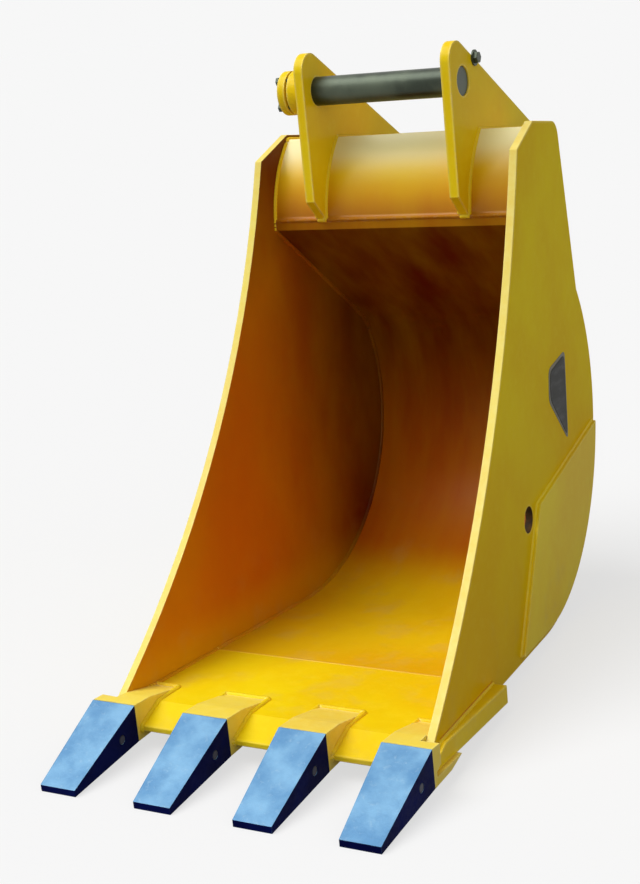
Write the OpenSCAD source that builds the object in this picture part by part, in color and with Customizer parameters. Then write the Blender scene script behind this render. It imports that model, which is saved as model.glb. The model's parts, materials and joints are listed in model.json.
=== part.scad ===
// Trenching bucket for a compact excavator, in millimetres, +Z up.
// The opening faces -Y, the hanger ears stand on top, and the side plate at +X is the right one.
// The bucket stands on its tooth tips and on the wear strips under its heel.

/* [Bucket shell] */
// Outside width over the two side plates at the lip
bucket_w = 400; // [330:5:480]
// Angle by which each side plate runs inward towards the back
side_taper = 3.5; // [2:0.5:5]
// Thickness of the side plates
side_t = 10; // [6:1:14]
// Thickness of the rolled wrapper plate
wrapper_t = 10; // [6:1:14]
// How far a side plate stands out past the wrapper, for the weld
side_proud = 6; // [3:1:10]
// Outside radius of the rolled heel
heel_r = 242; // [222:2:260]
// Outside radius of the tighter bend above the heel
knuckle_r = 90; // [75:1:105]
// Angle above level at which the heel ends and the tighter bend starts
heel_end_angle = 22; // [16:1:26]
// Angle between the straight inner slope and upright
slope_lean = 52; // [50:0.5:55]
// Angle at which the floor falls from the lip to the heel
floor_tilt = 3; // [2:0.25:4]
// Length from the front of the cutting edge to the heel's centre line
floor_len = 422; // [405:1:440]
// Length of the straight inner slope up to the rim
slope_len = 232; // [222:1:240]

/* [Mouth] */
// Distance from the front of the cutting edge back to the foot of the side plates
mouth_foot_in = 16; // [10:1:24]
// Level distance from the rim forward to the side plates' top front corner
mouth_top_ahead = 16; // [8:1:24]
// Height of that corner above the rim
mouth_top_over = 90; // [84:1:96]
// Depth of the hollow curve in the side plates' front edge
mouth_bow = 54; // [36:1:64]

/* [Torsion box] */
// Radius of the rolled front plate under the ears
bull_r = 150; // [140:1:160]
// Angle through which the front plate is rolled
bull_angle = 47; // [44:0.5:50]
// Thickness of the torsion box plates
box_t = 8; // [6:1:12]
// Length of the top plate, front to back
top_len = 92; // [84:1:100]
// Angle at which the top plate falls towards the back
top_fall = 6; // [3:0.5:9]
// Corner radius of the side plates above the box
side_corner_r = 24; // [15:1:32]

/* [Cutting edge] */
// Depth of the cutting edge, front to back
blade_len = 205; // [180:5:230]
// Thickness of the wear strips, which with the wrapper makes the cutting edge's thickness
strip_t = 12; // [8:1:14]
// Length of the bevel along the front of the cutting edge
bevel_len = 38; // [25:1:50]
// Thickness left at the front of the bevel
bevel_nose = 6; // [4:1:10]
// How far the cutting edge stands out past each side plate
blade_overhang = 6; // [2:1:10]
// Gap between the back of a tooth and the front of the cutting edge
lip_gap = 7; // [4:1:12]
// How far the outer teeth stand out past the ends of the cutting edge
tooth_overhang = 5; // [2:1:8]
// Width of one wear strip
strip_w = 52; // [40:1:60]
// Number of wear strips
strip_count = 3; // [2:1:3]
// Angle behind the heel's lowest point to which the strips are rolled
strip_wrap = 62; // [40:1:75]

/* [Teeth] */
// Number of teeth
tooth_count = 4; // [3:1:4]
// Width of a tooth at its back
tooth_back_w = 57; // [52:1:60]
// Width of a tooth at its point
tooth_tip_w = 46; // [38:1:50]
// Length of a tooth
tooth_len = 115; // [105:1:125]
// Thickness of a tooth at its point
tooth_tip_t = 8; // [6:1:12]
// Height of a tooth's top edge at its back
tooth_back_h = 56; // [52:1:58]
// Height of a tooth's underside at its back
tooth_back_rise = 12; // [8:1:14]
// Wall of a tooth round the adapter nose
tooth_wall = 8; // [6:0.5:9]
// Clearance of the adapter nose in the tooth
nose_gap = 0.5; // [0.3:0.1:1]
// Diameter of the pin that locks a tooth on its adapter
lock_pin_d = 10; // [8:1:12]
// Radial clearance round the lock pin
lock_pin_gap = 0.1; // [0.05:0.01:0.1]
// Length of the adapter behind the tooth, on top of the cutting edge
adapter_leg = 88; // [70:1:100]
// Length of the adapter's lower leg under the cutting edge
adapter_low_leg = 70; // [55:1:85]

/* [Ears] */
// Clear width between the two ears, for the digging arm
ear_gap = 182; // [160:1:190]
// Thickness of an ear
ear_t = 12; // [10:1:16]
// Radius of the ear's top front corner
ear_corner_r = 24; // [18:1:30]
// Distance from the pin's centre forward to the ear's front edge
ear_front = 36; // [32:1:42]
// Height above the rim at which the ear's straight front edge ends
ear_heel_up = 38; // [30:1:46]
// Height of the ear's top above the pin's centre
ear_top = 47; // [42:1:52]
// Level distance of the arm pin behind the rim
pin_behind = 10.6336; // [3:0.5:15]
// Height of the arm pin above the rim
pin_up = 169.1855; // [163:0.5:179]
// Level distance from the arm pin back to the link bore
link_back = 203; // [195:1:210]
// Distance by which the link bore lies below the arm pin
link_down = 111; // [104:1:118]
// Outside radius of the ear round the link bore
link_ear_r = 40; // [36:1:44]

/* [Pins] */
// Diameter of the arm pin
pin_d = 35; // [30:1:37]
// Radial clearance of the arm pin in the ears, its boss and its flange
pin_gap = 0.05; // [0.02:0.01:0.1]
// Distance by which the arm pin ends inside the right ear's outer face
pin_end_in = 1.5; // [1:0.5:4]
// Outside radius of the arm pin's boss and flange
boss_r = 27; // [26:1:31]
// Length of the boss outside the left ear
boss_len = 18; // [15:1:26]
// Thickness of the flange on the end of the arm pin
flange_t = 10; // [8:1:14]
// Gap between the flange and the boss
flange_gap = 3; // [2:0.5:4]
// Diameter of the four bolts that hold the flange
bolt_d = 6; // [5:1:6]
// Length of bolt screwed into the boss
bolt_grip = 12; // [10:1:13]
// Diameter of the link bore
link_bore_d = 35.1; // [30.1:1:40.1]
// Outside radius of the link bosses
link_boss_r = 32; // [28:1:36]
// Length of the link bosses outside the ears
link_boss_len = 10; // [6:1:16]

/* [Side plate fittings] */
// Thickness of the wear plate on the outside of the heel
heel_plate_t = 6; // [4:1:10]
// Distance from the side plate's edge to the wear plate's edge
heel_plate_in = 10; // [6:1:16]
// Diameter of the hole through the side plate
side_hole_d = 32; // [24:1:40]
// Distance of that hole in front of the heel's centre line
side_hole_ahead = 53; // [44:1:64]
// Distance of that hole below the heel's centre
side_hole_down = 82; // [72:1:90]

/* [Hidden] */
$fn = 180;

// Colours of paint and bare steel
yellow = [0.96, 0.74, 0.05];
worn_steel = [0.46, 0.52, 0.58];
dark_steel = [0.16, 0.17, 0.18];

// Length by which a cut runs past the solid that it cuts
over = 2;
// Gap at a curved seat, and at the ends of the plates between the side plates, taken up by the weld
seat_gap = 0.2;
end_gap = 0.02;
// Angle between two points of a rolled outline, and the share of it by which the last step may be longer
arc_step = 2;
last_step_share = 0.1;

// Unit vector at an angle, in the side view (Y, Z)
function aim(a) = [cos(a), sin(a)];
// Angle of a vector
function angle_of(v) = atan2(v[1], v[0]);
// Point on a circle
function on(c, r, a) = c + r * aim(a);
// Points along a circle from one angle to another, in steps counted from the first
function arc(c, r, a0, a1) =
    let (n = max(1, ceil(abs(a1 - a0) / arc_step - last_step_share)), step = sign(a1 - a0) * arc_step)
    [for (i = [0:n]) on(c, r, i < n ? a0 + step * i : a1)];
// Where the line from p along d meets the line from q along e
function meet(p, d, q, e) =
    p + d * (((q[0] - p[0]) * e[1] - (q[1] - p[1]) * e[0]) / (d[0] * e[1] - d[1] * e[0]));
// Where the line through p along the unit vector d crosses a circle: its further or, at -1, nearer point
function cross_circle(p, d, c, r, side = 1) =
    let (f = p - c, b = f * d) p + d * (side * sqrt(b * b - f * f + r * r) - b);
// Angle of the normal of a line that touches two circles, on their upper side or, at -1, the lower
function touch_angle(c1, r1, c2, r2, side = 1) =
    angle_of(c2 - c1) + side * acos((r1 - r2) / norm(c2 - c1));

// Side view, measured from the tooth points and the ground
blade_t = wrapper_t + strip_t;
blade_front = tooth_len + lip_gap;
heel_c = [blade_front + floor_len, heel_r + strip_t];
floor_out = 270 - floor_tilt;
floor_dir = aim(180 - floor_tilt);
knuckle_c = on(heel_c, heel_r - knuckle_r, heel_end_angle);
slope_dir = aim(90 + slope_lean);
heel_in_r = heel_r - wrapper_t;
knuckle_in_r = knuckle_r - wrapper_t;
slope_foot_in = on(knuckle_c, knuckle_in_r, slope_lean);
slope_foot_out = on(knuckle_c, knuckle_r, slope_lean);
rim = slope_foot_in + slope_len * slope_dir;
rim_out = meet(slope_foot_out, slope_dir, rim, aim(90));

// Point on the floor line of radius r, at a distance y from the tooth points
function floor_at(r, y) =
    on(heel_c, r, floor_out) + floor_dir * ((on(heel_c, r, floor_out)[0] - y) / cos(floor_tilt));

strip_r = heel_r + strip_t;
side_r = heel_r + side_proud;
blade_back = blade_front + blade_len;
mouth_foot = floor_at(heel_in_r, blade_front + mouth_foot_in);
mouth_top = rim + [-mouth_top_ahead, mouth_top_over];

// Torsion box
bull_c = [rim[0] + bull_r, rim[1]];
top_front = on(bull_c, bull_r, 180 - bull_angle);
top_back = top_front + top_len * aim(-top_fall);
top_in = -box_t * aim(90 - top_fall);
back_dir = (slope_foot_out - top_back) / norm(slope_foot_out - top_back);
back_in = box_t * [back_dir[1], -back_dir[0]];

// Ears and pins
pin_c = rim + [pin_behind, pin_up];
link_c = pin_c + [link_back, -link_down];
ear_c = pin_c + [ear_corner_r - ear_front, ear_top - ear_corner_r];
ear_top_angle = touch_angle(ear_c, ear_corner_r, link_c, link_ear_r);
// Distance up the back plate at which the ear's rear edge lands, as a share of the plate's length
ear_foot_share = 0.42;
ear_foot = slope_foot_out + (top_back - slope_foot_out) * ear_foot_share;
ear_foot_angle = touch_angle(ear_foot, 0, link_c, link_ear_r, -1);
// Height at which the ear's straight front edge ends, and the rim end of its slanted foot
ear_front_y = pin_c[0] - ear_front;
ear_heel_z = rim[1] + ear_heel_up;
ear_out = ear_gap / 2 + ear_t;

// Widths
half_in = bucket_w / 2 - side_t;
blade_w = bucket_w + 2 * blade_overhang;
tooth_side_out = blade_w / 2 + tooth_overhang;
tooth_pitch = (2 * tooth_side_out - tooth_back_w) / (tooth_count - 1);
pivot_y = blade_front + mouth_foot_in;
// Half the clear width between the side plates at a distance y from the tooth points
function half_at(y) = half_in - (y - pivot_y) * tan(side_taper);
// Distance from the tooth points to the back of the heel, and to the middle of the whole bucket
heel_back = pivot_y + (heel_c[0] + side_r - pivot_y) * cos(side_taper) + side_t * sin(side_taper);
mid_y = max(heel_back, link_c[0] + link_ear_r) / 2;

// Places of the adapter nose's front end and of the lock pin, as shares of the tooth's length
nose_share = 0.42;
lock_share = 0.76;
nose_front = tooth_len * nose_share;
lock_y = tooth_len * lock_share;
// Adapter's upper leg: end of its level part as a share of its length, and height there of the tooth's
leg_flat_share = 0.35;
leg_height_share = 0.9;
// Adapter's lower leg: place of its lowest point as a share of its length, and depth of the edge's
low_leg_share = 0.6;
low_leg_depth_share = 0.35;

// Flange bolts: height and radius of a head, as shares of the bolt's diameter
bolt_count = 4;
bolt_head_height_share = 0.65;
bolt_head_radius_share = 0.92;
bolt_circle_r = (boss_r + pin_d / 2) / 2;
bolt_head_t = bolt_d * bolt_head_height_share;
bolt_head_r = bolt_d * bolt_head_radius_share;

// Slanted top edge of the heel wear plate: front end ahead of the heel's centre and below it, and
// back end below it, as shares of the same distances of the hole; and where the plate starts
heel_plate_front_shares = [0.42, 0.88];
heel_plate_back_share = 0.43;
heel_plate_start_share = 2.2;
// Gap between the rear end of an outer wear strip and the side plate's inner face line
strip_side_gap = 6;

// Puts a piece drawn from the tooth points into the bucket's own frame
module placed() {
    translate([0, -mid_y, 0]) children();
}

// Extrudes a side view over a width, centred on x
module across(w, x = 0) {
    translate([x - w / 2, 0, 0]) rotate([90, 0, 90]) linear_extrude(height = w) children();
}

// Everything between the inner faces of the tapered side plates
module between_sides() {
    y0 = 0;
    y1 = heel_back + over;
    w0 = half_at(y0) - end_gap;
    w1 = half_at(y1) - end_gap;
    z1 = pin_c[1];
    intersection() {
        children();
        translate([0, 0, -over]) linear_extrude(height = z1)
            polygon([[-w0, y0], [w0, y0], [w1, y1], [-w1, y1]]);
    }
}

// Stands a side view up as a plate against the inner face line of the right side plate
module on_side(t, out = 0) {
    translate([half_in, pivot_y, 0]) rotate([0, 0, side_taper]) translate([out, -pivot_y, 0])
        rotate([90, 0, 90]) linear_extrude(height = t) children();
}

module mirrored_if(left) {
    if (left) mirror([1, 0, 0]) children();
    else children();
}

// Side plate

mouth_chord = mouth_top - mouth_foot;
mouth_r = (pow(norm(mouth_chord) / 2, 2) + pow(mouth_bow, 2)) / (2 * mouth_bow);
mouth_normal = [-mouth_chord[1], mouth_chord[0]] / norm(mouth_chord);
mouth_c = (mouth_top + mouth_foot) / 2 + mouth_normal * (mouth_r - mouth_bow);
side_top_front = top_front + side_proud * aim(90 - top_fall);
side_corner_c = meet(side_top_front - side_corner_r * aim(90 - top_fall), aim(-top_fall),
    top_back + (side_corner_r - side_proud) * back_in / box_t, back_dir);

module side_plate_view() {
    back_p = slope_foot_out - side_proud * back_in / box_t;
    heel_top = cross_circle(back_p, back_dir, heel_c, side_r, -1);
    polygon(concat(
        [floor_at(side_r, mouth_foot[0])],
        arc(heel_c, side_r, floor_out, 360 + angle_of(heel_top - heel_c)),
        arc(side_corner_c, side_corner_r, angle_of(-back_in), 90 - top_fall),
        [side_top_front],
        arc(mouth_c, mouth_r, angle_of(mouth_top - mouth_c), angle_of(mouth_foot - mouth_c))
    ));
}

// Both plates stand on the cutting edge, and the right one has the hole
module side_plate(left) {
    color(yellow) placed() mirrored_if(left) difference() {
        on_side(side_t) difference() {
            side_plate_view();
            if (!left)
                translate([heel_c[0] - side_hole_ahead, heel_c[1] - side_hole_down])
                    circle(d = side_hole_d);
        }
        across(blade_w) blade_view(side_proud);
    }
}

module side_plate_left() { side_plate(true); }
module side_plate_right() { side_plate(false); }

// Wrapper, rolled in one piece from the cutting edge to the rim

// One surface of the wrapper, from the cutting edge round the heel and the tighter bend
function wrapper_line(r, k) = concat(
    [floor_at(r, blade_back)],
    arc(heel_c, r, floor_out, 360 + heel_end_angle),
    arc(knuckle_c, k, heel_end_angle + arc_step, slope_lean)
);

module wrapper() {
    outside = concat(wrapper_line(heel_r, knuckle_r), [rim_out, rim]);
    inside = wrapper_line(heel_in_r, knuckle_in_r);
    last = len(inside) - 1;
    color(yellow) placed() between_sides() across(bucket_w)
        polygon(concat(outside, [for (i = [0:last]) inside[last - i]]));
}

// Cutting edge

// Side view of the edge, or of the cut that it makes in a plate that reaches further down
module blade_view(down = 0) {
    low_front = floor_at(strip_r, blade_front);
    polygon([
        low_front - [0, down],
        low_front + bevel_nose * aim(90 - floor_tilt),
        floor_at(heel_in_r, blade_front + bevel_len),
        floor_at(heel_in_r, blade_back),
        floor_at(strip_r, blade_back) - [0, down]
    ]);
}

module cutting_edge() {
    color(yellow) placed() across(blade_w) blade_view();
}

// Torsion box, from a rolled front plate, a top plate and a back plate

// Angle at which a circle round the front plate's centre meets the outside of the inner slope
function slope_angle(r) = angle_of(cross_circle(slope_foot_out, slope_dir, bull_c, r) - bull_c);

module box_front_plate() {
    color(yellow) placed() between_sides() across(bucket_w) polygon(concat(
        arc(bull_c, bull_r, 180 - bull_angle, slope_angle(bull_r)),
        arc(bull_c, bull_r - box_t, slope_angle(bull_r - box_t), 180 - bull_angle)
    ));
}

module box_top_plate() {
    front_low = top_front + top_in;
    front_cut = meet(front_low, aim(-top_fall), bull_c, aim(180 - bull_angle));
    color(yellow) placed() between_sides() across(bucket_w)
        polygon([top_front, front_cut, top_back + top_in, top_back]);
}

module box_back_plate() {
    up = meet(top_back + top_in, aim(-top_fall), slope_foot_out, back_dir);
    up_in = meet(top_back + top_in, aim(-top_fall), slope_foot_out + back_in, back_dir);
    low_in = meet(slope_foot_out, slope_dir, slope_foot_out + back_in, back_dir);
    color(yellow) placed() between_sides() across(bucket_w)
        polygon([slope_foot_out, low_in, up_in, up]);
}

// Ears

module ear_view() {
    difference() {
        polygon(concat(
            [[ear_front_y, ear_heel_z]],
            arc(ear_c, ear_corner_r, 180, ear_top_angle),
            arc(link_c, link_ear_r, ear_top_angle, ear_foot_angle),
            [ear_foot, top_back],
            arc(bull_c, bull_r, 180 - bull_angle, slope_angle(bull_r))
        ));
        translate(pin_c) circle(d = pin_d + 2 * pin_gap);
        translate(link_c) circle(d = link_bore_d);
    }
}

module ear(side) {
    color(yellow) placed() across(ear_t, side * (ear_gap + ear_t) / 2) ear_view();
}

module ear_left() { ear(-1); }
module ear_right() { ear(1); }

// Bosses, welded outside the ears

module boss_ring(len, r, bore_d, c, side) {
    across(len, side * (ear_out + len / 2)) translate(c) difference() {
        circle(r = r);
        circle(d = bore_d);
    }
}

// Bolt centres round the arm pin, in the side view
module at_bolts() {
    for (i = [0:bolt_count - 1])
        translate(on(pin_c, bolt_circle_r, (i + 0.5) * 360 / bolt_count)) children();
}

module arm_boss() {
    color(yellow) placed() difference() {
        boss_ring(boss_len, boss_r, pin_d + 2 * pin_gap, pin_c, -1);
        across(bolt_grip + 2 * over, -ear_out - boss_len + bolt_grip / 2)
            at_bolts() circle(d = bolt_d + 2 * pin_gap);
    }
}

module link_boss(side) {
    color(yellow) placed() boss_ring(link_boss_len, link_boss_r, link_bore_d, link_c, side);
}

module link_boss_left() { link_boss(-1); }
module link_boss_right() { link_boss(1); }

// Arm pin, the flange welded round its left end, and the bolts that hold the flange to the boss

flange_out_x = -ear_out - boss_len - flange_gap - flange_t;

module bucket_pin() {
    pin_len = ear_out - pin_end_in - flange_out_x;
    color(dark_steel) placed()
        across(pin_len, flange_out_x + pin_len / 2) translate(pin_c) circle(d = pin_d);
}

module pin_flange() {
    color(yellow) placed() across(flange_t, flange_out_x + flange_t / 2) difference() {
        translate(pin_c) circle(r = boss_r);
        translate(pin_c) circle(d = pin_d + 2 * pin_gap);
        at_bolts() circle(d = bolt_d + 2 * pin_gap);
    }
}

module pin_bolts() {
    shank = flange_t + flange_gap + bolt_grip;
    color(dark_steel) placed() union() {
        across(shank, flange_out_x + shank / 2) at_bolts() circle(d = bolt_d);
        across(bolt_head_t, flange_out_x - bolt_head_t / 2) at_bolts() circle(r = bolt_head_r, $fn = 6);
    }
}

// Teeth, with one adapter and one lock pin each

function tooth_x(i) = (i - 1 - (tooth_count - 1) / 2) * tooth_pitch;

// A wedge seen from the side and from above
module wedge(side, plan, w, h) {
    intersection() {
        across(w) polygon(side);
        translate([0, 0, -over]) linear_extrude(height = h) polygon(plan);
    }
}

// Top and underside of a tooth at a distance y from its point, drawn in by a wall
function tooth_top(y, wall = 0) = [y, tooth_tip_t + (tooth_back_h - tooth_tip_t) * y / tooth_len - wall];
function tooth_low(y, wall = 0) = [y, tooth_back_rise * y / tooth_len + wall];
// Half width of a tooth at a distance y from its point
function tooth_half(y) = (tooth_tip_w + (tooth_back_w - tooth_tip_w) * y / tooth_len) / 2;

module tooth_inside(wall, front, back) {
    wedge(
        [tooth_top(front, wall), tooth_top(back, wall), tooth_low(back, wall), tooth_low(front, wall)],
        [[wall - tooth_half(front), front], [tooth_half(front) - wall, front],
            [tooth_half(back) - wall, back], [wall - tooth_half(back), back]],
        bucket_w, heel_r
    );
}

lock_c = [lock_y, (tooth_top(lock_y)[1] + tooth_low(lock_y)[1]) / 2];

module tooth(i) {
    color(worn_steel) placed() translate([tooth_x(i), 0, 0]) difference() {
        wedge(
            [tooth_low(0), tooth_top(0), tooth_top(tooth_len), tooth_low(tooth_len)],
            [[-tooth_half(0), 0], [tooth_half(0), 0], [tooth_half(tooth_len), tooth_len],
                [-tooth_half(tooth_len), tooth_len]],
            bucket_w, heel_r
        );
        tooth_inside(tooth_wall, nose_front, tooth_len + over);
        across(tooth_back_w + 2 * over) translate(lock_c) circle(d = lock_pin_d + 2 * lock_pin_gap);
    }
}

// End of the line from p to q when it runs on past q by the overrun, into the edge
function run_on(p, q) = q + over * (q - p) / norm(q - p);

// The adapter's two legs, seen from the side, over and under the cutting edge
module adapter_legs_view() {
    top_front_p = [tooth_len + nose_gap, tooth_top(tooth_len)[1]];
    low_front_p = [tooth_len + nose_gap, tooth_low(tooth_len)[1]];
    leg_h = top_front_p[1] - floor_at(heel_in_r, top_front_p[0])[1];
    flat_end = tooth_len + adapter_leg * leg_flat_share;
    low_end = tooth_len + adapter_low_leg * low_leg_share;
    top_bend = floor_at(heel_in_r, flat_end) + [0, leg_h * leg_height_share];
    low_bend = floor_at(strip_r, low_end) - [0, blade_t * low_leg_depth_share];
    polygon([
        low_front_p,
        top_front_p,
        top_bend,
        run_on(top_bend, floor_at(heel_in_r, tooth_len + adapter_leg)),
        run_on(low_bend, floor_at(strip_r, tooth_len + adapter_low_leg)),
        low_bend
    ]);
}

module tooth_adapter(i) {
    nose_wall = tooth_wall + nose_gap;
    color(yellow) placed() difference() {
        translate([tooth_x(i), 0, 0]) union() {
            tooth_inside(nose_wall, nose_front + nose_gap, tooth_len + over);
            across(tooth_back_w) adapter_legs_view();
        }
        across(blade_w + tooth_back_w) blade_view();
        translate([tooth_x(i), 0, 0])
            across(tooth_back_w + 2 * over) translate(lock_c) circle(d = lock_pin_d + 2 * lock_pin_gap);
        for (left = [false, true])
            mirrored_if(left) on_side(bucket_w)
                translate(mouth_foot - [bevel_nose, blade_t - bevel_nose])
                    square([blade_len, blade_t + tooth_back_h]);
    }
}

module lock_pin(i) {
    length = 2 * tooth_half(lock_y);
    color(dark_steel) placed()
        across(length, tooth_x(i)) translate(lock_c) circle(d = lock_pin_d);
}

module tooth_adapter_1() { tooth_adapter(1); }
module tooth_adapter_2() { tooth_adapter(2); }
module tooth_adapter_3() { tooth_adapter(3); }
module tooth_adapter_4() { tooth_adapter(4); }
module tooth_1() { tooth(1); }
module tooth_2() { tooth(2); }
module tooth_3() { tooth(3); }
module tooth_4() { tooth(4); }
module lock_pin_1() { lock_pin(1); }
module lock_pin_2() { lock_pin(2); }
module lock_pin_3() { lock_pin(3); }
module lock_pin_4() { lock_pin(4); }

// Wear plates on the outside of the heel corners

module heel_plate_view() {
    r = side_r - heel_plate_in;
    ahead = -side_hole_ahead;
    down = -side_hole_down;
    front_p = heel_c + [ahead * heel_plate_front_shares[0], down * heel_plate_front_shares[1]];
    top_dir = heel_c + [side_r, down * heel_plate_back_share] - front_p;
    back_p = cross_circle(front_p, top_dir / norm(top_dir), heel_c, r);
    polygon(concat(
        [front_p, floor_at(r, heel_c[0] + ahead * heel_plate_start_share)],
        arc(heel_c, r, floor_out, 360 + angle_of(back_p - heel_c))
    ));
}

module heel_plate(left) {
    color(yellow) placed() mirrored_if(left) on_side(heel_plate_t, side_t) heel_plate_view();
}

module heel_plate_left() { heel_plate(true); }
module heel_plate_right() { heel_plate(false); }

// Wear strips, rolled round the underside of the floor and heel

// Centre of a strip: the outer ones keep clear of the tapered side plates
function strip_x(i) =
    (i - 1 - (strip_count - 1) / 2) * 2 / (strip_count - 1)
    * (half_at(heel_c[0] + heel_r * sin(strip_wrap)) - strip_side_gap - strip_w / 2);

module wear_strip_view() {
    r = heel_r + seat_gap;
    polygon(concat(
        [floor_at(r, blade_back), floor_at(strip_r, blade_back)],
        arc(heel_c, strip_r, floor_out, 270 + strip_wrap),
        arc(heel_c, r, 270 + strip_wrap, floor_out)
    ));
}

module wear_strip(i) {
    if (i <= strip_count)
        color(yellow) placed() across(strip_w, strip_x(i)) wear_strip_view();
}

module wear_strip_1() { wear_strip(1); }
module wear_strip_2() { wear_strip(2); }
module wear_strip_3() { wear_strip(3); }

side_plate_left();
side_plate_right();
wrapper();
cutting_edge();
box_front_plate();
box_top_plate();
box_back_plate();
ear_left();
ear_right();
arm_boss();
link_boss_left();
link_boss_right();
bucket_pin();
pin_flange();
pin_bolts();
tooth_adapter_1();
tooth_adapter_2();
tooth_adapter_3();
tooth_adapter_4();
tooth_1();
tooth_2();
tooth_3();
tooth_4();
lock_pin_1();
lock_pin_2();
lock_pin_3();
lock_pin_4();
heel_plate_left();
heel_plate_right();
wear_strip_1();
wear_strip_2();
wear_strip_3();
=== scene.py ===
import json
import math

import bmesh
import bpy
from mathutils import Matrix, Vector, noise
from mathutils.bvhtree import BVHTree


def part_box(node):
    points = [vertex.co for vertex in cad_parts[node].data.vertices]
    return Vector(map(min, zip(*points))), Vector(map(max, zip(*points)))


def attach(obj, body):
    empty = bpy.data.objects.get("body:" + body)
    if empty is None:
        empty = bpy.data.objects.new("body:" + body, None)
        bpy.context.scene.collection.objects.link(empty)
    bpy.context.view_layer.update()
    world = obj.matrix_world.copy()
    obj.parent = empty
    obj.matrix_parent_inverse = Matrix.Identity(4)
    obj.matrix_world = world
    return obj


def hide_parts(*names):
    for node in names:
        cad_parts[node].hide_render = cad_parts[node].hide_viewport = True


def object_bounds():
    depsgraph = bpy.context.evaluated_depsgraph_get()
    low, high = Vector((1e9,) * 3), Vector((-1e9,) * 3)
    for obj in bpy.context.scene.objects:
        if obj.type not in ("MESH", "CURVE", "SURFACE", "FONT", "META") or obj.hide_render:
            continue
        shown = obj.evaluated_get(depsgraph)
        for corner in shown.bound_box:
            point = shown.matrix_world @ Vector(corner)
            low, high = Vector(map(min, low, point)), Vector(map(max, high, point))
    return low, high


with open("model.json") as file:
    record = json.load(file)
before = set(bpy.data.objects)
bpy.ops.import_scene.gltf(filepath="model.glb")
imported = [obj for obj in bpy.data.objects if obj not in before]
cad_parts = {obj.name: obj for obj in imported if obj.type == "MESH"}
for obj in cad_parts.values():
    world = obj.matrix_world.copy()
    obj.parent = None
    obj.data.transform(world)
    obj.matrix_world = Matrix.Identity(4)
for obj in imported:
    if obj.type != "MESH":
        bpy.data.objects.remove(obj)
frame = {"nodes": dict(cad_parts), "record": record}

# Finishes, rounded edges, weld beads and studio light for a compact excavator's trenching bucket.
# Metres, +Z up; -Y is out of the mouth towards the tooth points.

cad_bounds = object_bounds()
nodes = frame["nodes"]
body_of_node = {n: b for b, names in frame["record"]["behaviour"]["bodies"].items() for n in names}
slot_of_node = {s["node"]: s["material_slot"] for s in frame["record"]["subparts"]}

# Nodes that come in sets
SIDES = ("left", "right")
TOOTH_NUMBERS = (1, 2, 3, 4)
STRIP_NUMBERS = (1, 2, 3)
BOX_PLATES = ("box_front_plate", "box_top_plate", "box_back_plate")


def add_object(name, data):
    """Adds an object to the scene for a mesh, a lamp or a camera."""
    added = bpy.data.objects.new(name, data)
    bpy.context.scene.collection.objects.link(added)
    return added


# Camera, at the photograph's viewing angle; its sensor spans the image's longer side, the height

IMAGE_H = 884
FOCAL_PX = 1586.54
SENSOR_MM = 36
CAMERA_AT = Vector((0.86318, -1.59428, 0.7824))
CAMERA_RIGHT = Vector((0.87714, 0.47046, -0.09647))
CAMERA_UP = Vector((-0.04228, 0.27573, 0.9603))
CAMERA_BACK = Vector((0.47838, -0.83824, 0.26174))


def add_camera():
    data = bpy.data.cameras.new("camera")
    data.sensor_width = SENSOR_MM
    data.lens = FOCAL_PX / IMAGE_H * SENSOR_MM
    camera = add_object("camera", data)
    turn = Matrix((CAMERA_RIGHT, CAMERA_UP, CAMERA_BACK)).transposed()
    camera.matrix_world = Matrix.Translation(CAMERA_AT) @ turn.to_4x4()
    bpy.context.scene.camera = camera


add_camera()

# Node helpers

BEVEL_SAMPLES = 6
NOISE_ROUGHNESS = 0.55


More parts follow.
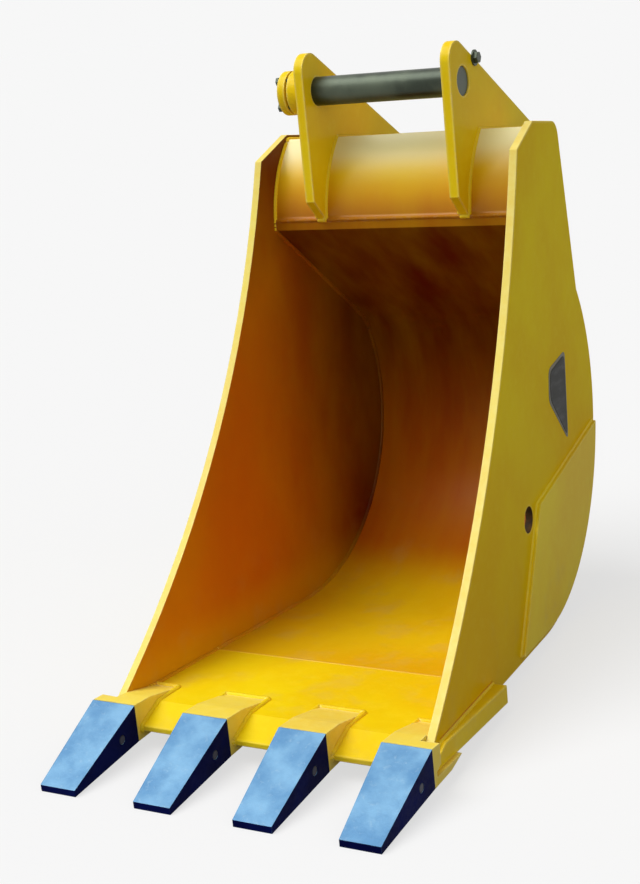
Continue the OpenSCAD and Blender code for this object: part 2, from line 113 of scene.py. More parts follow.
class Nodes:
    """A material's node tree, with short calls for the nodes used here."""

    def __init__(self, name):
        self.material = bpy.data.materials.new(name)
        self.material.use_nodes = True
        self.tree = self.material.node_tree
        self.shader = self.tree.nodes["Principled BSDF"]
        self.object_coords = self.add("ShaderNodeTexCoord").outputs["Object"]

    def add(self, kind, **settings):
        node = self.tree.nodes.new(kind)
        for key, value in settings.items():
            setattr(node, key, value)
        return node

    def link(self, source, target):
        self.tree.links.new(source, target)

    def put(self, value, socket):
        """Sets a socket to a number or colour, or links it to another node's output."""
        if isinstance(value, bpy.types.NodeSocket):
            self.link(value, socket)
        else:
            socket.default_value = value

    def surface(self, name, value):
        """Sets or links one of the shader's own sockets."""
        self.put(value, self.shader.inputs[name])

    def noise(self, scale, detail, roughness=NOISE_ROUGHNESS, stretch=None):
        node = self.add("ShaderNodeTexNoise")
        node.inputs["Scale"].default_value = scale
        node.inputs["Detail"].default_value = detail
        node.inputs["Roughness"].default_value = roughness
        coords = self.object_coords
        if stretch:
            mapping = self.add("ShaderNodeMapping")
            mapping.inputs["Scale"].default_value = stretch
            self.link(coords, mapping.inputs["Vector"])
            coords = mapping.outputs["Vector"]
        self.link(coords, node.inputs["Vector"])
        return node.outputs["Fac"]

    def ramp(self, value, low, high, bottom=0.0, top=1.0):
        """Smooth step of a value from low to high, scaled to run from bottom to top."""
        node = self.add("ShaderNodeMapRange", interpolation_type="SMOOTHSTEP")
        self.put(value, node.inputs["Value"])
        node.inputs["From Min"].default_value = low
        node.inputs["From Max"].default_value = high
        node.inputs["To Min"].default_value = bottom
        node.inputs["To Max"].default_value = top
        return node.outputs["Result"]

    def math(self, operation, a, b):
        """A sum, product or maximum kept between 0 and 1, or a plain difference."""
        node = self.add("ShaderNodeMath", operation=operation, use_clamp=operation != "SUBTRACT")
        self.put(a, node.inputs[0])
        self.put(b, node.inputs[1])
        return node.outputs[0]

    def mix(self, factor, a, b):
        """Mixes two colours, given as values or as outputs."""
        node = self.add("ShaderNodeMix", data_type="RGBA")
        self.put(factor, node.inputs["Factor"])
        colours = [s for s in node.inputs if s.type == "RGBA"]
        self.put(a, colours[0])
        self.put(b, colours[1])
        return [s for s in node.outputs if s.type == "RGBA"][0]

    def part(self, vector, name):
        """One coordinate of a vector."""
        node = self.add("ShaderNodeSeparateXYZ")
        self.link(vector, node.inputs[0])
        return node.outputs[name]

    def axis(self, name):
        """One coordinate of the point, in metres."""
        return self.part(self.object_coords, name)

    def normal(self):
        """The direction in which the surface looks."""
        return self.add("ShaderNodeNewGeometry").outputs["Normal"]

    def upward(self):
        """How far the surface looks up, from -1 to 1."""
        return self.part(self.normal(), "Z")

    def near_edge(self, radius):
        """0 away from a piece's outer edges, rising to about 0.3 on them from a radius off."""
        bevel = self.add("ShaderNodeBevel", samples=BEVEL_SAMPLES)
        bevel.inputs["Radius"].default_value = radius
        dot = self.add("ShaderNodeVectorMath", operation="DOT_PRODUCT")
        self.link(bevel.outputs["Normal"], dot.inputs[0])
        self.link(self.normal(), dot.inputs[1])
        return self.math("SUBTRACT", 1.0, dot.outputs["Value"])

    def bump(self, height, distance, strength, after=None):
        """A bump of a depth in metres, on top of an earlier one if there is one."""
        node = self.add("ShaderNodeBump")
        node.inputs["Strength"].default_value = strength
        node.inputs["Distance"].default_value = distance
        self.put(height, node.inputs["Height"])
        if after:
            self.link(after, node.inputs["Normal"])
        return node.outputs["Normal"]


def rgb(*parts):
    return (*parts, 1.0)


# Materials

# A noise has its scale in waves a metre and its detail. A ramp runs between two values, and gives
# the third and fourth number there, or 0 and 1. A bump has its depth in metres and its strength.
BARE_STEEL = rgb(0.42, 0.42, 0.40)
WHITE = rgb(1.0, 1.0, 1.0)
HALF_WAY = (0.3, 0.7)
SATIN = (*HALF_WAY, 0.40, 0.56)

# Paint

YELLOW = rgb(0.95, 0.72, 0.006)
YELLOW_DEEP = rgb(0.90, 0.61, 0.004)
YELLOW_PALE = rgb(0.98, 0.78, 0.04)
# Pale yellow of worn edges, on the side plates partly a painted highlight
YELLOW_WORN_AND_LIT = rgb(1.0, 0.88, 0.34)
# Colour of the painted highlight
YELLOW_PAINTED_HIGHLIGHT = rgb(1.0, 0.93, 0.50)
# Brown for soil stain and painted shade, and the darkest painted shade
STAIN_AND_SHADE = rgb(0.62, 0.150, 0.004)
PAINTED_SHADE_DEEP = rgb(0.13, 0.012, 0.003)
DUST = rgb(0.60, 0.42, 0.16)
EDGE_MASK_R = 0.006

PATCHES = {"scale": 5.0, "detail": 5.0}
PATCH_TONES = (0.35, 0.65)
WORN_AND_LIT_PATCHES = (0.35, 0.6, 0.6, 1.0)
GRAIN = {"scale": 70.0, "detail": 6.0, "roughness": 0.7}
PALE_GRAIN = (0.45, 0.75, 0.0, 0.25)
PALE_ALL_OVER_GRAIN = (0.35, 0.65)
PALE_ALL_OVER_LEAST = 0.7
WORN_AND_LIT_EDGE_RAMP = (0.015, 0.18)

STREAKS = {"scale": 6.0, "detail": 6.0, "stretch": (2.5, 1.0, 0.5)}
STREAK_STRENGTH = (0.25, 0.75, 0.82, 1.0)
DUST_SPOTS = {"scale": 22.0, "detail": 8.0}
DUSTY = (0.5, 0.72)
DUST_HEIGHTS = (0.0, 0.16, 1.0, 0.0)
DUST_COVER = 0.18
DUST_ROUGHNESS = 0.3
CHIP_SPOTS = {"scale": 120.0, "detail": 5.0}
CHIPPED = (0.5, 0.58)
CHIPPED_EDGE = (0.17, 0.24)

GLOSS_SPOTS = {"scale": 14.0, "detail": 7.0}
COAT_ROUGHNESS = 0.30
PEEL = {"scale": 320.0, "detail": 2.0}
PEEL_BUMP = (0.00025, 0.35)
WAVES = {"scale": 7.0, "detail": 1.0}
WAVE_BUMP = (0.002, 0.25)


def enamel(n, edge_mask, pale, pale_all_over, painted_highlight):
    """Colour of the paint: patchy, grainy, paler on its edges and where asked all over, and paler towards
    the top where a painted highlight is asked for; on the side plates' front edges the paleness is wear and
    partly a painted highlight.
    """
    broad = n.noise(**PATCHES)
    fine = n.noise(**GRAIN)
    colour = n.mix(n.ramp(broad, *PATCH_TONES), YELLOW, YELLOW_DEEP)
    colour = n.mix(n.ramp(fine, *PALE_GRAIN), colour, YELLOW_PALE)
    # Paler edges: wear and, on the side plates, partly a painted highlight
    worn_and_lit_edge = n.math("MULTIPLY", n.ramp(edge_mask, *WORN_AND_LIT_EDGE_RAMP, 0.0, pale), n.ramp(broad, *WORN_AND_LIT_PATCHES))
    colour = n.mix(worn_and_lit_edge, colour, YELLOW_WORN_AND_LIT)
    # Paler all over: wear on the adapters, wear and partly a painted highlight on the side plates' front
    # edges
    if pale_all_over:
        pale_all_mask = n.ramp(fine, *PALE_ALL_OVER_GRAIN, pale_all_over * PALE_ALL_OVER_LEAST, pale_all_over)
        colour = n.mix(pale_all_mask, colour, YELLOW_WORN_AND_LIT)
    # Painted highlight: the paint grows paler towards the top, where the light falls on the box front
    # plate's roll
    if painted_highlight:
        colour = n.mix(n.ramp(n.axis("Z"), *painted_highlight), colour, YELLOW_PAINTED_HIGHLIGHT)
    return colour


def stained_and_shaded(n, colour, stain_and_shade, shade_up, shade_back):
    """A colour under a brown colour that stands for soil stain and, inside the bucket and on the box front
    plate, for painted shade; shade_up and shade_back darken it further as painted shade.
    """
    streaks = n.ramp(n.noise(**STREAKS), *STREAK_STRENGTH)
    amount = n.math("MULTIPLY", streaks, n.ramp(n.axis("Z"), *stain_and_shade))
    # Painted shade: darker upwards and towards the back
    deeper_shade = n.ramp(n.axis("Z"), *shade_up) if shade_up else 0.0
    if shade_back:
        deeper_shade = n.math("MAXIMUM", deeper_shade, n.ramp(n.axis("Y"), *shade_back))
    return n.mix(amount, colour, n.mix(deeper_shade, STAIN_AND_SHADE, PAINTED_SHADE_DEEP))


def paint(name, stain_and_shade=None, shade_up=None, shade_back=None, wear=0.35, pale=0.4, pale_all_over=0.0,
          painted_highlight=None, coat=0.25):
    """Enamel in yellow, a little uneven, paler and chipped along its edges, dusty near the ground.

    stain_and_shade is a ramp over the height for a brown colour: soil stain on the side plates' outer
    faces, soil stain and painted shade inside the bucket, and painted shade on the box front plate and
    the rim. It is darkest, as painted shade, by the ramps shade_up over the height and shade_back over
    the distance back. Wear is how much bare steel shows on the edges, pale how far the paint there is
    rubbed pale and pale_all_over how far it is paler all over; on the side plates' front edges these
    are partly a painted highlight. painted_highlight is a ramp over the height for a painted highlight
    at the top, and coat is its gloss."""
    n = Nodes(name)
    edge_mask = n.near_edge(EDGE_MASK_R)
    colour = enamel(n, edge_mask, pale, pale_all_over, painted_highlight)
    if stain_and_shade:
        colour = stained_and_shaded(n, colour, stain_and_shade, shade_up, shade_back)
    low = n.ramp(n.axis("Z"), *DUST_HEIGHTS)
    dusty = n.math("MULTIPLY", n.ramp(n.noise(**DUST_SPOTS), *DUSTY), low)
    colour = n.mix(n.math("MULTIPLY", dusty, DUST_COVER), colour, DUST)
    chip_spots = n.ramp(n.noise(**CHIP_SPOTS), *CHIPPED)
    chips = n.math("MULTIPLY", n.ramp(edge_mask, *CHIPPED_EDGE), chip_spots)
    chips = n.math("MULTIPLY", chips, wear)
    n.surface("Base Color", n.mix(chips, colour, BARE_STEEL))
    rough = n.ramp(n.noise(**GLOSS_SPOTS), *SATIN)
    n.surface("Roughness", n.math("ADD", rough, n.math("MULTIPLY", dusty, DUST_ROUGHNESS)))
    n.surface("Metallic", chips)
    n.surface("Specular IOR Level", 0.0)
    n.surface("Coat Weight", coat)
    n.surface("Coat Roughness", COAT_ROUGHNESS)
    peel = n.bump(n.noise(**PEEL), *PEEL_BUMP)
    n.surface("Normal", n.bump(n.noise(**WAVES), *WAVE_BUMP, after=peel))
    return n.material


# Rusty steel with painted shade, and film

RUST_AND_SHADE_DARK = rgb(0.035, 0.022, 0.012)
RUST_AND_SHADE_LIGHT = rgb(0.09, 0.045, 0.015)
RUST_SPOTS = {"scale": 180.0, "detail": 5.0}
RUST_TONES = (0.4, 0.7)
RUST_ROUGHNESS = (*HALF_WAY, 0.6, 0.85)
RUST_SPECULAR = 0.1
RUST_BUMP = (0.0006, 0.5)

BORDER_TONES = (rgb(0.20, 0.19, 0.15), rgb(0.30, 0.28, 0.22))
CHARCOAL_TONES = (rgb(0.018, 0.018, 0.016), rgb(0.05, 0.05, 0.042))
SCUFFS = {"scale": 60.0, "detail": 7.0, "roughness": 0.7, "stretch": (1.0, 0.4, 1.6)}
SCUFFED = (0.45, 0.75)
FILM_ROUGHNESS = (*HALF_WAY, 0.45, 0.7)
FILM_SPECULAR = 0.15
FILM_BUMP = (0.0003, 0.4)


def rusty_shaded_hole():
    """Dark, lightly rusted steel inside the hole of a side plate; the darkness is partly painted shade of
    the hole.
    """
    n = Nodes("rusty_shaded_hole")
    spots = n.noise(**RUST_SPOTS)
    n.surface("Base Color", n.mix(n.ramp(spots, *RUST_TONES), RUST_AND_SHADE_DARK, RUST_AND_SHADE_LIGHT))
    n.surface("Roughness", n.ramp(spots, *RUST_ROUGHNESS))
    n.surface("Specular IOR Level", RUST_SPECULAR)
    n.surface("Normal", n.bump(spots, *RUST_BUMP))
    return n.material


def film_finish(name, dark, light):
    """Matt film, slightly scuffed."""
    n = Nodes(name)
    scuffs = n.noise(**SCUFFS)
    n.surface("Base Color", n.mix(n.ramp(scuffs, *SCUFFED), dark, light))
    n.surface("Roughness", n.ramp(scuffs, *FILM_ROUGHNESS))
    n.surface("Specular IOR Level", FILM_SPECULAR)
    n.surface("Normal", n.bump(scuffs, *FILM_BUMP))
    return n.material


# Teeth

# Pale blue tops, polish with a painted reflection; near-black sides, paint with painted shade
TOOTH_BLUE = rgb(0.11, 0.26, 0.46)
TOOTH_BLUE_PALE = rgb(0.21, 0.41, 0.61)
TOOTH_BRIGHT = rgb(0.34, 0.50, 0.63)
TOOTH_PAINT_AND_SHADE = rgb(0.001, 0.002, 0.040)
TOOTH_PAINT_AND_SHADE_LIGHT = rgb(0.002, 0.006, 0.080)
CAST_GRAIN = {"scale": 160.0, "detail": 6.0, "roughness": 0.65}
CAST_PATCHES = {"scale": 24.0, "detail": 4.0}
BRIGHT_GRAIN = (0.55, 0.75, 0.0, 0.5)
POLISH_AND_LIT_SLOPE = (0.42, 0.62)
POLISH_AND_LIT_UNEVEN = (*HALF_WAY, -0.08, 0.08)
TOOTH_WEAR_R = 0.0015
RUB_SPOTS = {"scale": 90.0, "detail": 4.0}
RUBBED_TOOTH = (0.42, 0.58)
RUBBED_TOOTH_EDGE = (0.03, 0.22)
RUBBED_TOOTH_MOST = 0.4
TOOTH_METALLIC = (0.0, 1.0, 0.0, 0.3)
TOOTH_SPECULAR = 0.02
CAST_BUMP = (0.0006, 0.5)


def tooth_steel():
    """Cast steel: tops that look up are pale blue-grey, partly polished by the soil and partly a painted
    reflection; sides and points are near-black, partly dark factory paint and partly painted shade.
    """
    n = Nodes("tooth_steel")
    cast = n.noise(**CAST_GRAIN)
    tone = n.ramp(n.noise(**CAST_PATCHES), *HALF_WAY)
    polish_and_lit = n.mix(tone, TOOTH_BLUE, TOOTH_BLUE_PALE)
    polish_and_lit = n.mix(n.ramp(cast, *BRIGHT_GRAIN), polish_and_lit, TOOTH_BRIGHT)
    paint_and_shade = n.mix(tone, TOOTH_PAINT_AND_SHADE, TOOTH_PAINT_AND_SHADE_LIGHT)
    # Painted reflection and shade: the tone follows how far the surface looks up, pale on top, near-black on
    # the sides
    slope = n.math("ADD", n.upward(), n.ramp(cast, *POLISH_AND_LIT_UNEVEN))
    rub_spots = n.ramp(n.noise(**RUB_SPOTS), *RUBBED_TOOTH)
    rub = n.math("MULTIPLY", n.ramp(n.near_edge(TOOTH_WEAR_R), *RUBBED_TOOTH_EDGE), rub_spots)
    rub = n.math("MULTIPLY", rub, RUBBED_TOOTH_MOST)
    amount = n.math("MAXIMUM", n.ramp(slope, *POLISH_AND_LIT_SLOPE), rub)
    n.surface("Base Color", n.mix(amount, paint_and_shade, polish_and_lit))
    n.surface("Metallic", n.ramp(amount, *TOOTH_METALLIC))
    n.surface("Roughness", n.ramp(cast, *SATIN))
    n.surface("Specular IOR Level", TOOTH_SPECULAR)
    n.surface("Normal", n.bump(cast, *CAST_BUMP))
    return n.material


# Pins and bolts

OILED_TONES = (rgb(0.032, 0.042, 0.028), rgb(0.09, 0.11, 0.075))
LOCK_PIN_TONES = (rgb(0.004, 0.005, 0.02), rgb(0.012, 0.014, 0.03))
OIL_FILM = {"scale": 18.0, "detail": 6.0}
OILED = (0.35, 0.7)
OIL_ROUGHNESS = (*HALF_WAY, 0.32, 0.5)
PIN_METALLIC = 0.6
TURNED_RINGS = {"scale": 40.0, "detail": 3.0, "stretch": (30.0, 1.0, 1.0)}
RING_BUMP = (0.0002, 0.4)


def pin_steel(name, dark, light):
    """Turned steel, oiled and darkened, with faint rings."""
    n = Nodes(name)
    film = n.noise(**OIL_FILM)
    n.surface("Base Color", n.mix(n.ramp(film, *OILED), dark, light))
    n.surface("Metallic", PIN_METALLIC)
    n.surface("Roughness", n.ramp(film, *OIL_ROUGHNESS))
    n.surface("Normal", n.bump(n.noise(**TURNED_RINGS), *RING_BUMP))
    return n.material


# Soil stain and painted shade on each painted face: ramps over the height and, for PLATE_PAINTED_SHADE_BACK,
# over the distance back

# Inside the bucket: soil stain and painted shade, browner and darker upwards and, on the side plates,
# towards the back
FLOOR_SOIL_AND_SHADE = (0.015, 0.065, 0.16, 1.0)
FLOOR_PAINTED_SHADE_DEEP = (0.08, 0.36)
PLATE_SOIL_AND_SHADE = (0.02, 0.10, 0.65, 1.0)
PLATE_PAINTED_SHADE_DEEP = (0.38, 0.62)
PLATE_PAINTED_SHADE_BACK = (0.02, 0.34)
SIDE_SOIL = (0.08, 0.42, 0.26, 0.03)
# Painted shade on the box front plate and the wrapper's rim: browner and darker towards the bottom of the
# roll
FRONT_PAINTED_SHADE = (0.525, 0.62, 0.93, 0.0)
FRONT_PAINTED_SHADE_DEEP = (0.515, 0.57, 0.52, 0.0)
# Painted highlight towards the top of the box front plate's roll
FRONT_PAINTED_HIGHLIGHT = (0.580, 0.615, 0.0, 0.9)
RIM_PAINTED_SHADE_DEEP = (0.515, 0.56, 0.60, 0.0)

# How far paint is worn, rubbed pale and glossy where it differs from the rest; the side plates' paler edges
# are partly a painted highlight
INSIDE_WEAR = 0.2
SIDE_PALE = 0.85
SIDE_COAT = 0.1
FRONT_COAT = 0.5
RIM_COAT = 0.1
ADAPTER_BLEACH = 0.3
MOUTH_EDGE_PALE_ALL_OVER = 0.6

paint_outside = paint("paint_outside")
# Inside faces: soil stain and painted shade
paint_inside = {"wrapper": paint("paint_inside_wrapper", FLOOR_SOIL_AND_SHADE, FLOOR_PAINTED_SHADE_DEEP, wear=INSIDE_WEAR)}
for side in SIDES:
    paint_inside["side_plate_" + side] = paint(
        "paint_inside_" + side, PLATE_SOIL_AND_SHADE, PLATE_PAINTED_SHADE_DEEP, PLATE_PAINTED_SHADE_BACK, wear=INSIDE_WEAR)
finishes = {
    "paint": paint_outside,
    "tooth_steel": tooth_steel(),
    "pin_steel": pin_steel("pin_steel", *OILED_TONES),
}
# Painted shade on the wrapper's rim and its weld, like the box front plate's lower edge
rim_paint = paint("paint_rim", FRONT_PAINTED_SHADE, RIM_PAINTED_SHADE_DEEP, coat=RIM_COAT)
# Side plates' front edges: paler all over, wear and partly a painted highlight
mouth_edge_paint = paint("paint_mouth_edge", pale_all_over=MOUTH_EDGE_PALE_ALL_OVER)

# Nodes with a finish of their own
side_plate_paint = paint("paint_side_plates", SIDE_SOIL, pale=SIDE_PALE, coat=SIDE_COAT)
adapter_paint = paint("paint_adapters", pale_all_over=ADAPTER_BLEACH)
own_finish = {
    # Box front plate: painted shade low on its roll, painted highlight at its top
    "box_front_plate": paint("paint_box_front", FRONT_PAINTED_SHADE, FRONT_PAINTED_SHADE_DEEP, painted_highlight=FRONT_PAINTED_HIGHLIGHT,
                             coat=FRONT_COAT),
}
for side in SIDES:
    own_finish["side_plate_" + side] = side_plate_paint
for i in TOOTH_NUMBERS:
    own_finish["tooth_adapter_%d" % i] = adapter_paint
    own_finish["lock_pin_%d" % i] = pin_steel("lock_pin_%d_steel" % i, *LOCK_PIN_TONES)


def repaint(mesh, material, chosen):
    """Gives a material to the faces of a mesh that are chosen."""
    mesh.materials.append(material)
    for face in mesh.polygons:
        if chosen(face):
            face.material_index = len(mesh.materials) - 1


# Pieces: each rigid node as a copy with rounded edges

EDGE_R = {"paint": 0.0012, "tooth_steel": 0.0018, "pin_steel": 0.0008}
EDGE_SEGMENTS = 2
SAME_POINT = 0.00001
FLAT_ANGLE = math.radians(0.4)
SHARP_ANGLE = math.radians(28)
# Middle of the space that the soil fills, and how squarely a face looks at it to get the inside's soil stain
# and painted shade
SOIL_MIDDLE = Vector((0.0, 0.1, 0.25))
INNER_COS = 0.25


def looks_inward(face):
    """Whether a face looks at the middle of the soil."""
    to_middle = (SOIL_MIDDLE - face.center).normalized()
    return face.normal.dot(to_middle) > INNER_COS


def plain_faces(name):
    """A CAD node's mesh, joined up, with each flat face as one polygon."""
    work = bmesh.new()
    work.from_mesh(nodes[name].data)
    bmesh.ops.remove_doubles(work, verts=work.verts, dist=SAME_POINT)
    bmesh.ops.dissolve_limit(work, angle_limit=FLAT_ANGLE, verts=work.verts, edges=work.edges)
    return work


def finished_piece(name, work, material):
    """Turns a work mesh into a piece of one material."""
    mesh = bpy.data.meshes.new(name)
    work.to_mesh(mesh)
    work.free()
    mesh.materials.append(material)
    return add_object(name, mesh)


def dressed(name):
    """A copy of a CAD node with rounded edges and smooth rolled faces, which stands for it."""
    slot = slot_of_node[name]
    work = plain_faces(name)
    for face in work.faces:
        face.smooth = True
    piece = finished_piece(name + "_finished", work, own_finish.get(name, finishes[slot]))
    piece.data.set_sharp_from_angle(angle=SHARP_ANGLE)
    bevel = piece.modifiers.new("edges", "BEVEL")
    bevel.width = EDGE_R[slot]
    bevel.segments = EDGE_SEGMENTS
    bevel.limit_method = "ANGLE"
    bevel.angle_limit = SHARP_ANGLE
    bevel.harden_normals = True
    if name in paint_inside:
        repaint(piece.data, paint_inside[name], looks_inward)
    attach(piece, body_of_node[name])
    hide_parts(name)
    return piece


pieces = {name: dressed(name) for name in nodes}

# Shapes made of rings of points


def circle_angles(sides):
    return [2 * math.pi * k / sides for k in range(sides)]


def join_rings(work, rings):
    """Faces between rings of points, closed at both ends."""
    sides = len(rings[0])
    for low, high in zip(rings, rings[1:]):
        for k in range(sides):
            after = (k + 1) % sides
            work.faces.new((low[k], low[after], high[after], high[k]))
    work.faces.new(rings[0][::-1])
    work.faces.new(rings[-1])


# Weld beads along the seams where two plates meet

SEAM_DIST = 0.0006
BEAD_R = 0.0034
SMALL_BEAD_R = 0.0024
BEAD_SIDES = 8
BEAD_STEP = 0.0015
BEAD_FEWEST_POINTS = 4
BEAD_END_SHARE = 0.35
RIPPLE_LEN = 0.0046
RIPPLE_DEPTH_SHARE = 0.16
UNEVEN_SHARE = 0.12
UNEVEN_SCALE = 45.0


def lies_on(point, tree):
    """Whether a point is on another piece's surface."""
    return tree.find_nearest(point, SEAM_DIST)[0] is not None


def seam_edges(name, other):
    """The sharp edges of one piece that lie on another, as pairs of points."""
    work = plain_faces(name)
    base = plain_faces(other)
    tree = BVHTree.FromBMesh(base)
    pairs = []
    for edge in work.edges:
        a, b = (v.co.copy() for v in edge.verts)
        if len(edge.link_faces) == 2 and edge.calc_face_angle() > SHARP_ANGLE:
            if all(lies_on(point, tree) for point in (a, b, (a + b) / 2)):
                pairs.append((a, b))
    work.free()
    base.free()
    return pairs


def spot(point):
    """A point's place in whole steps, the same for points that count as one."""
    return tuple(round(c / SAME_POINT) for c in point)


def seam_lines(pairs):
    """Joins pairs of points end to end into lines, each a list of points."""
    ends = {}
    for i, pair in enumerate(pairs):
        for point in pair:
            ends.setdefault(spot(point), []).append(i)
    unused = set(range(len(pairs)))
    lines = []

    def follow(point):
        """Walks from a point along unused pairs for as long as there is only one way on."""
        line = [point]
        while len(ends[spot(point)]) <= 2:
            ways = [i for i in ends[spot(point)] if i in unused]
            if not ways:
                break
            unused.discard(ways[0])
            a, b = pairs[ways[0]]
            point = b if spot(a) == spot(point) else a
            line.append(point)
        return line

    while unused:
        a, b = pairs[min(unused)]
        unused.discard(min(unused))
        lines.append(follow(a)[::-1] + follow(b))
    return lines


def resampled(line, step):
    """Points at even steps along a line, with the distance of each from the start."""
    out = [(line[0], 0.0)]
    done = 0.0
    for a, b in zip(line, line[1:]):
        length = (b - a).length
        while out[-1][1] + step < done + length:
            at = out[-1][1] + step
            out.append((a.lerp(b, (at - done) / length), at))
        done += length
    out.append((line[-1], done))
    return out


def bead_radius(point, at, length, radius):
    """Radius of a bead at a distance along it: rippled, uneven and drawn in at both ends."""
    ripple = 1 - RIPPLE_DEPTH_SHARE * (1 - abs(math.sin(math.pi * at / RIPPLE_LEN)))
    uneven = 1 + UNEVEN_SHARE * noise.noise(point * UNEVEN_SCALE)
    end = min(1.0, BEAD_END_SHARE + min(at, length - at) / radius)
    return radius * ripple * uneven * end


def add_bead(work, line, radius):
    """A rippled bead along a line, with closed ends."""
    points = resampled(line, BEAD_STEP)
    length = points[-1][1]
    if len(points) < BEAD_FEWEST_POINTS:
        return
    side = (points[1][0] - points[0][0]).orthogonal().normalized()
    rings = []
    for i, (point, at) in enumerate(points):
        along = (points[min(i + 1, len(points) - 1)][0] - points[max(i - 1, 0)][0]).normalized()
        side = (side - along * side.dot(along)).normalized()
        up = along.cross(side)
        r = bead_radius(point, at, length, radius)
        ring = [point + r * (math.cos(t) * side + math.sin(t) * up) for t in circle_angles(BEAD_SIDES)]
        rings.append([work.verts.new(place) for place in ring])
    join_rings(work, rings)


def weld(name, seams, radius=BEAD_R, inside=None, finish=paint_outside):
    """One piece with the beads of several seams, each given as two node names."""
    work = bmesh.new()
    for a, b in seams:
        for line in seam_lines(seam_edges(a, b)):
            add_bead(work, line, radius)
    for face in work.faces:
        face.smooth = True
    piece = finished_piece(name, work, finish)
    if inside:
        repaint(piece.data, paint_inside[inside], looks_inward)
    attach(piece, body_of_node[seams[0][0]])


for side in SIDES:
    plate = "side_plate_" + side
    weld("weld_shell_" + side, [("wrapper", plate), (plate, "cutting_edge")], inside=plate)
    weld("weld_box_" + side, [(part, plate) for part in BOX_PLATES])
    weld("weld_ear_" + side, [("ear_" + side, part) for part in BOX_PLATES + ("wrapper",)])
    weld("weld_link_boss_" + side, [("link_boss_" + side, "ear_" + side)], SMALL_BEAD_R)
    weld("weld_heel_plate_" + side, [("heel_plate_" + side, plate)], SMALL_BEAD_R)
weld("weld_arm_boss", [("arm_boss", "ear_left")], SMALL_BEAD_R)
weld("weld_rim", [("box_front_plate", "wrapper")], SMALL_BEAD_R, finish=rim_paint)
for i in TOOTH_NUMBERS:
    weld("weld_adapter_%d" % i, [("tooth_adapter_%d" % i, "cutting_edge")])
for i in STRIP_NUMBERS:
    weld("weld_strip_%d" % i, [("wear_strip_%d" % i, "wrapper")], SMALL_BEAD_R)

# Faces with a finish of their own

# The side plates' front edges are paler, rubbed by the soil and partly a painted highlight, the wrapper's
# rim gets the painted shade of the plate above it, and the hole is dark inside, rust with painted shade.
# Each is told by where it is and which way it looks.
MOUTH_EDGE_FORWARD = 0.25
MOUTH_EDGE_SIDEWAYS = 0.3
RIM_DEPTH = 0.03
RIM_FORWARD = 0.9
HOLE_REACH = 0.020
HOLE_WALL_SIDEWAYS = 0.5

rim_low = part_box("wrapper")[1][2] - RIM_DEPTH
openings = {o["name"]: o["box_m"] for o in frame["record"]["physics"]["openings"]}
hole_low, hole_high = (Vector(c) for c in openings["side_hole_right"])
hole_middle = (hole_low + hole_high) / 2


def on_mouth_edge(face):
    return face.normal.y < -MOUTH_EDGE_FORWARD and abs(face.normal.x) < MOUTH_EDGE_SIDEWAYS


def on_rim(face):
    return face.center.z > rim_low and face.normal.y < -RIM_FORWARD


def in_hole(face):
    near = (face.center - hole_middle).yz.length < HOLE_REACH
    return near and abs(face.normal.x) < HOLE_WALL_SIDEWAYS


# Side plates' forward-facing edges paler: wear and partly a painted highlight
for side in SIDES:
    repaint(pieces["side_plate_" + side].data, mouth_edge_paint, on_mouth_edge)
# Painted shade on the wrapper's rim
repaint(pieces["wrapper"].data, rim_paint, on_rim)
# Hole wall: rust and painted shade
repaint(pieces["side_plate_right"].data, rusty_shaded_hole(), in_hole)

# Plain dark film on the right side plate, lying on its outer face

FILM_CORNERS = ((0.2000, 0.330), (0.2700, 0.338), (0.2640, 0.222), (0.1940, 0.290))
FILM_T = 0.0005
FILM_BORDER = 0.006
FILM_CORNER_R = 0.010
FILM_CORNER_STEPS = 6
RAY_START = 1.0


def rounded(corners, radius):
    """Outline through four corners (y, z), each rounded off by a curve of a few points."""
    points = [Vector(c) for c in corners]
    out = []
    for i, corner in enumerate(points):
        before = (points[i - 1] - corner).normalized() * radius
        after = (points[(i + 1) % len(points)] - corner).normalized() * radius
        for k in range(FILM_CORNER_STEPS + 1):
            t = k / FILM_CORNER_STEPS
            out.append(corner + (1 - t) ** 2 * before + t ** 2 * after)
    return out


def shrunk(corners, by):
    """The four corners moved towards their middle by a distance."""
    middle = sum((Vector(c) for c in corners), Vector((0, 0))) / len(corners)
    return [Vector(c) + (middle - Vector(c)).normalized() * by for c in corners]


def add_film(name, corners, lift, material):
    """A thin film on the right side plate's outer face."""
    work = plain_faces("side_plate_right")
    tree = BVHTree.FromBMesh(work)
    work.free()
    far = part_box("side_plate_right")[1][0] + RAY_START
    outline = []
    for y, z in rounded(corners, FILM_CORNER_R):
        outline.append(tree.ray_cast(Vector((far, y, z)), Vector((-1, 0, 0)))[0])
    film = bmesh.new()
    rings = []
    for height in (lift, lift + FILM_T):
        rings.append([film.verts.new(point + Vector((height, 0, 0))) for point in outline])
    join_rings(film, rings)
    bmesh.ops.recalc_face_normals(film, faces=film.faces)
    piece = finished_piece(name, film, material)
    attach(piece, body_of_node["side_plate_right"])


add_film("film_border", FILM_CORNERS, 0.0, film_finish("film_grey", *BORDER_TONES))
add_film("film", shrunk(FILM_CORNERS, FILM_BORDER), FILM_T, film_finish("film_charcoal", *CHARCOAL_TONES))

# Keeper bolt on the outer face of the right ear

KEEPER_AT = (0.1965, 0.710)
KEEPER_WASHER_R = 0.0095
KEEPER_WASHER_T = 0.0018
KEEPER_WASHER_SIDES = 32
KEEPER_HEAD_R = 0.0072
KEEPER_HEAD_T = 0.0050
KEEPER_HEAD_SIDES = 6
KEEPER_CHAMFER = 0.0009


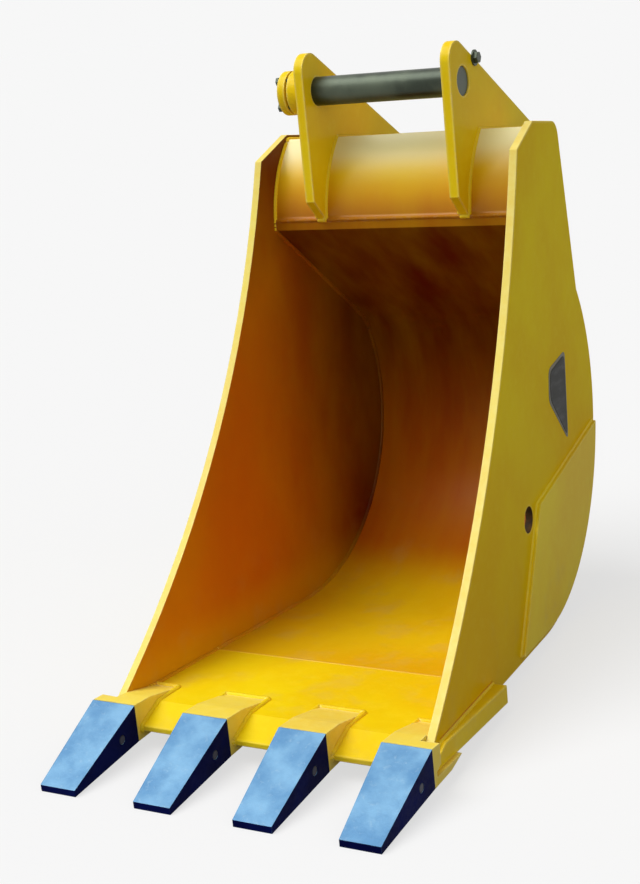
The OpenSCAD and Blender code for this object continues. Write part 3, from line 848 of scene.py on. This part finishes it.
def add_fastener(name, middle, rings, sides):
    """A closed solid of rings round the X axis on the right ear, each a height and a radius."""
    work = bmesh.new()
    loops = []
    for height, radius in rings:
        around = [Vector((height, radius * math.cos(t), radius * math.sin(t))) for t in circle_angles(sides)]
        loops.append([work.verts.new(middle + place) for place in around])
    join_rings(work, loops)
    bmesh.ops.recalc_face_normals(work, faces=work.faces)
    piece = finished_piece(name, work, finishes["pin_steel"])
    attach(piece, body_of_node["ear_right"])


ear_face = Vector((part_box("ear_right")[1][0], *KEEPER_AT))
head_base = ear_face + Vector((KEEPER_WASHER_T, 0, 0))
washer_rings = [(0.0, KEEPER_WASHER_R), (KEEPER_WASHER_T, KEEPER_WASHER_R)]
head_rings = [
    (0.0, KEEPER_HEAD_R),
    (KEEPER_HEAD_T - KEEPER_CHAMFER, KEEPER_HEAD_R),
    (KEEPER_HEAD_T, KEEPER_HEAD_R - KEEPER_CHAMFER),
]
add_fastener("keeper_washer", ear_face, washer_rings, KEEPER_WASHER_SIDES)
add_fastener("keeper_bolt", head_base, head_rings, KEEPER_HEAD_SIDES)

# Studio: pale floor, soft key from above, left and front, weak fill from the right, dim surroundings

PALE = 0.93
FLOOR_HALF = 60.0
FLOOR_SHADE = 0.26
FLOOR_ROUGHNESS = 0.9
AMBIENT = 0.24
KEY_DIRECTION = Vector((-0.42, -0.32, 0.89))
KEY_STRENGTH = 2.7
KEY_SPREAD = math.radians(50)
FILL_DIRECTION = Vector((0.80, -0.45, 0.40))
FILL_STRENGTH = 0.5
FILL_SPREAD = math.radians(60)


def seen_rays(tree):
    """1 for rays from the camera, from gloss and through glass, else 0."""
    paths = tree.nodes.new("ShaderNodeLightPath")
    total = paths.outputs["Is Camera Ray"]
    for name in ("Is Glossy Ray", "Is Transmission Ray"):
        node = tree.nodes.new("ShaderNodeMath")
        node.operation = "MAXIMUM"
        tree.links.new(total, node.inputs[0])
        tree.links.new(paths.outputs[name], node.inputs[1])
        total = node.outputs[0]
    return total


def add_world():
    world = bpy.data.worlds.new("studio")
    world.use_nodes = True
    tree = world.node_tree
    background = tree.nodes["Background"]
    background.inputs["Color"].default_value = WHITE
    strength = tree.nodes.new("ShaderNodeMapRange")
    strength.inputs["To Min"].default_value = AMBIENT
    strength.inputs["To Max"].default_value = PALE
    tree.links.new(seen_rays(tree), strength.inputs["Value"])
    tree.links.new(strength.outputs["Result"], background.inputs["Strength"])
    bpy.context.scene.world = world


def add_floor():
    """A wide floor that keeps the shadow and is lifted to the pale background where it is seen."""
    mesh = bpy.data.meshes.new("floor")
    corners = [(x * FLOOR_HALF, y * FLOOR_HALF, 0) for x, y in ((-1, -1), (1, -1), (1, 1), (-1, 1))]
    mesh.from_pydata(corners, [], [(0, 1, 2, 3)])
    floor = add_object("floor", mesh)
    floor.location.z = cad_bounds[0][2]
    n = Nodes("floor")
    n.surface("Base Color", rgb(FLOOR_SHADE, FLOOR_SHADE, FLOOR_SHADE))
    n.surface("Roughness", FLOOR_ROUGHNESS)
    n.surface("Specular IOR Level", 0.0)
    n.surface("Emission Color", WHITE)
    suns = ((KEY_DIRECTION, KEY_STRENGTH), (FILL_DIRECTION, FILL_STRENGTH))
    lit = AMBIENT + sum(strength * way.normalized().z for way, strength in suns) / math.pi
    lift = n.add("ShaderNodeMapRange")
    lift.inputs["To Max"].default_value = PALE - FLOOR_SHADE * lit
    n.link(seen_rays(n.tree), lift.inputs["Value"])
    n.surface("Emission Strength", lift.outputs["Result"])
    mesh.materials.append(n.material)


def add_sun(name, direction, strength, spread):
    data = bpy.data.lights.new(name, "SUN")
    data.energy = strength
    data.angle = spread
    light = add_object(name, data)
    light.rotation_euler = direction.to_track_quat("Z", "Y").to_euler()


add_world()
add_floor()
add_sun("key", KEY_DIRECTION, KEY_STRENGTH, KEY_SPREAD)
add_sun("fill", FILL_DIRECTION, FILL_STRENGTH, FILL_SPREAD)

bpy.context.scene.view_settings.view_transform = "Standard"
